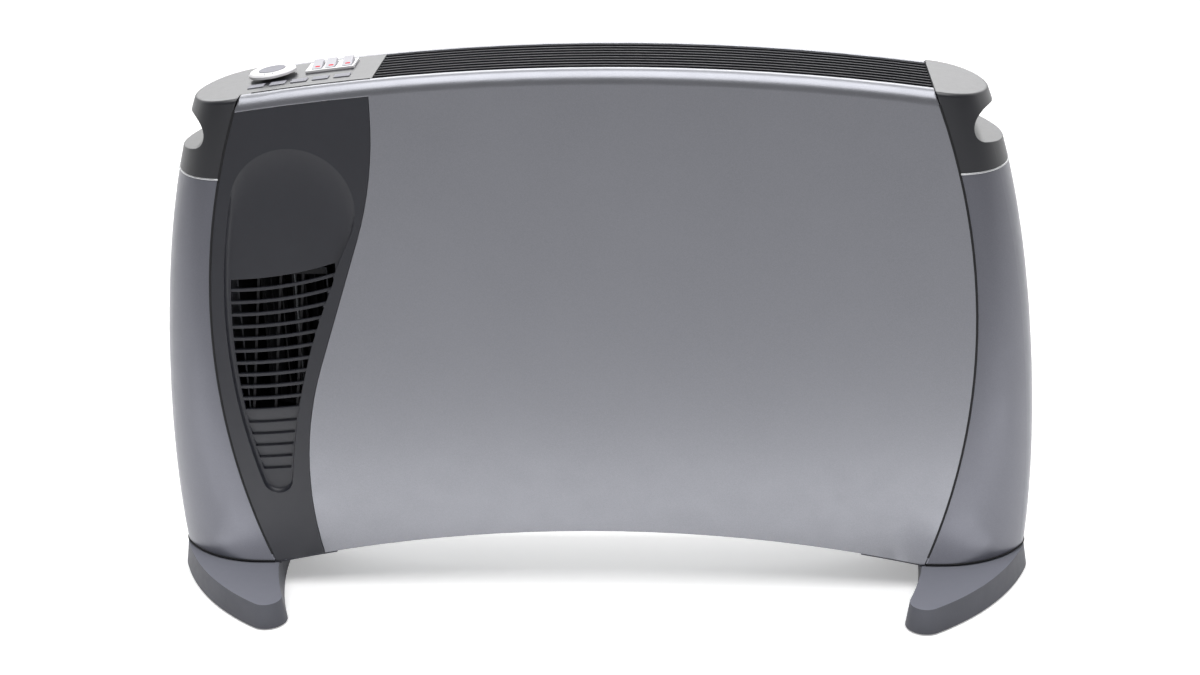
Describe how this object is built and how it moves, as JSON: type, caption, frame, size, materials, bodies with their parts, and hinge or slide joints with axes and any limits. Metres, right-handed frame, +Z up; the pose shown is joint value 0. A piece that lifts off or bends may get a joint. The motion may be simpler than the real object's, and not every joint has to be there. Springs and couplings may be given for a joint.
{
  "type": "convector heater",
  "caption": "Freestanding convector heater with curved ends, a fan fascia with sweeping slots, arched top grille, thermostat dial, rocker switches and two wide feet.",
  "frame": {"origin": "on the floor under the middle of the casing", "axes": "+X along the width, to the right of someone facing the front; +Y from front to back; +Z up"},
  "size_m": [0.686, 0.238, 0.421],
  "materials": {
    "casing_grey": "satin",
    "side_grey": "satin",
    "foot_grey": "satin",
    "charcoal": "satin",
    "cap_plastic": "satin",
    "grille_grey": "satin",
    "white_plastic": "smooth",
    "rocker_plastic": "smooth",
    "trim_grey": "satin",
    "inner_plastic": "satin",
    "fan_plastic": "satin",
    "zinc_steel": "plain",
    "aluminium": "plain",
    "ceramic": "plain",
    "brass": "plain",
    "copper_wire": "wound",
    "lamination": "stacked sheets",
    "rubber": "plain"
  },
  "bodies": {
    "casing": {"front_panel": "casing_grey", "rear_panel": "casing_grey", "left_side_cover": "side_grey", "right_side_cover": "side_grey", "left_foot": "foot_grey", "right_foot": "foot_grey", "fan_fascia": "charcoal", "fan_guard": "charcoal", "control_housing": "cap_plastic", "right_handle_cap": "cap_plastic", "top_grille": "grille_grey", "switch_bezel": "white_plastic", "legend_pads": "trim_grey", "switch_housing": "inner_plastic", "thermostat_body": "inner_plastic", "terminal_block": "inner_plastic", "fan_bearing": "inner_plastic", "base_tray": "zinc_steel", "divider_plate": "zinc_steel", "right_end_frame": "zinc_steel", "fan_housing": "zinc_steel", "fan_brackets": "zinc_steel", "motor_straps": "zinc_steel", "motor_posts": "zinc_steel", "foot_screws": "zinc_steel", "rear_screws": "zinc_steel", "element_lower": "aluminium", "element_upper": "aluminium", "heat_shield": "aluminium", "thermal_cutout": "aluminium", "element_insulators": "ceramic", "thermostat_nut": "brass", "switch_tabs": "brass", "element_pins": "brass", "fan_coil": "copper_wire", "fan_stator": "lamination", "foot_pads": "rubber", "cord_inlet_bush": "rubber"},
    "knob": {"thermostat_knob": "white_plastic", "knob_cap": "trim_grey", "thermostat_shaft": "zinc_steel"},
    "low_heat_rocker": {"rocker_low_heat": "rocker_plastic"},
    "high_heat_rocker": {"rocker_high_heat": "rocker_plastic"},
    "fan_rocker": {"rocker_fan": "rocker_plastic"},
    "fan": {"fan_rotor": "lamination", "fan_shaft": "zinc_steel", "fan_impeller": "fan_plastic"}
  },
  "joints": [
    {"name": "thermostat_turn", "type": "hinge", "parent": "casing", "child": "knob", "pos_m": [-0.237, 0.008, 0.40515], "axis": [-0.1331, 0, 0.9911], "range_deg": [0, 300]},
    {"name": "low_heat_switch", "type": "hinge", "parent": "casing", "child": "low_heat_rocker", "pos_m": [-0.203, 0.014, 0.4072], "axis": [0.9941, 0, 0.1083], "range_deg": [-25, 0]},
    {"name": "high_heat_switch", "type": "hinge", "parent": "casing", "child": "high_heat_rocker", "pos_m": [-0.19276, 0.014, 0.40832], "axis": [0.9941, 0, 0.1083], "range_deg": [-25, 0]},
    {"name": "fan_switch", "type": "hinge", "parent": "casing", "child": "fan_rocker", "pos_m": [-0.18004, 0.014, 0.4097], "axis": [0.9941, 0, 0.1083], "range_deg": [-25, 0]},
    {"name": "fan_spin", "type": "hinge", "parent": "casing", "child": "fan", "pos_m": [-0.233, 0, 0.2], "axis": [0, 0, 1], "continuous": true}
  ]
}
